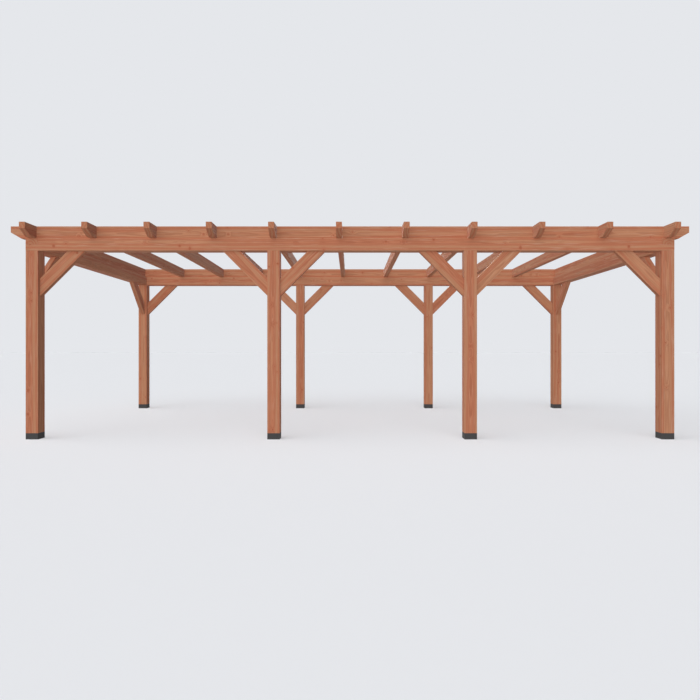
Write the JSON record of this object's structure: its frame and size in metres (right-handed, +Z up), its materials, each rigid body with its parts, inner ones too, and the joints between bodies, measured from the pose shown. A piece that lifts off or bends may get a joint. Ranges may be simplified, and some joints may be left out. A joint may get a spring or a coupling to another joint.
{
  "type": "timber pergola frame",
  "caption": "Free-standing open timber pergola: square posts on black shoes, half-lapped ring beam, rafters cross-halved over top beams with sloped tails, and knee braces.",
  "frame": {"origin": "on the ground, under the middle of the frame", "axes": "+X along the long side to the right, +Y from the front to the rear, +Z up; the front faces -Y"},
  "size_m": [7.626, 3.85, 2.39],
  "materials": {
    "timber": "planed and stained red-brown, matt",
    "post_shoe": "matt black"
  },
  "bodies": {
    "root": {"front_left_post": "timber", "front_inner_left_post": "timber", "front_inner_right_post": "timber", "front_right_post": "timber", "rear_left_post": "timber", "rear_inner_left_post": "timber", "rear_inner_right_post": "timber", "rear_right_post": "timber", "front_ring_beam": "timber", "rear_ring_beam": "timber", "left_ring_beam": "timber", "right_ring_beam": "timber", "front_top_beam": "timber", "rear_top_beam": "timber", "rafter_01": "timber", "rafter_02": "timber", "rafter_03": "timber", "rafter_04": "timber", "rafter_05": "timber", "rafter_06": "timber", "rafter_07": "timber", "rafter_08": "timber", "rafter_09": "timber", "rafter_10": "timber", "rafter_11": "timber", "front_brace_1": "timber", "front_brace_2": "timber", "front_brace_3": "timber", "front_brace_4": "timber", "front_brace_5": "timber", "front_brace_6": "timber", "rear_brace_1": "timber", "rear_brace_2": "timber", "rear_brace_3": "timber", "rear_brace_4": "timber", "rear_brace_5": "timber", "rear_brace_6": "timber", "left_front_brace": "timber", "left_rear_brace": "timber", "right_front_brace": "timber", "right_rear_brace": "timber", "front_post_shoes": "post_shoe", "rear_post_shoes": "post_shoe"}
  },
  "joints": []
}
